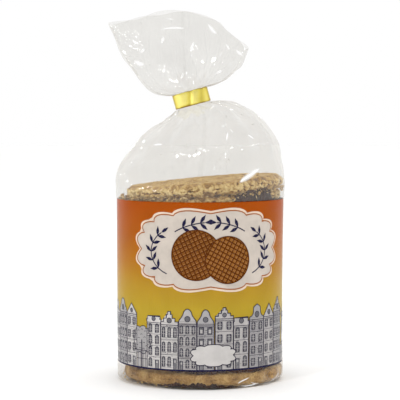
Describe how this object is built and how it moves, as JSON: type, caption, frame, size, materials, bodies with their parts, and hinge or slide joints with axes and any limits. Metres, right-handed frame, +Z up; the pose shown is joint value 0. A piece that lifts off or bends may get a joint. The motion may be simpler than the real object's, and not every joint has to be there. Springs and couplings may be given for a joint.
{
  "type": "bag of stroopwafels",
  "caption": "Clear cellophane bag filled with a stack of round caramel waffle biscuits, printed band round its middle, neck gathered in a yellow foil clip, open ruffled top.",
  "frame": {"origin": "centre of the object's outline on the surface that the bag stands on", "axes": "+Z up from the flat base, -Y out of the printed front, +X to the right as seen from the front"},
  "size_m": [0.0916, 0.0856, 0.1913],
  "materials": {
    "film": "clear glossy cellophane, softly crumpled",
    "clip_foil": "glossy yellow foil",
    "print": "glossy ink on film, orange fading to yellow, with pale drawings",
    "waffle": "dry baked waffle",
    "syrup": "sticky dark caramel"
  },
  "bodies": {
    "root": {"bag": "film", "clip": "clip_foil"}
  },
  "joints": []
}
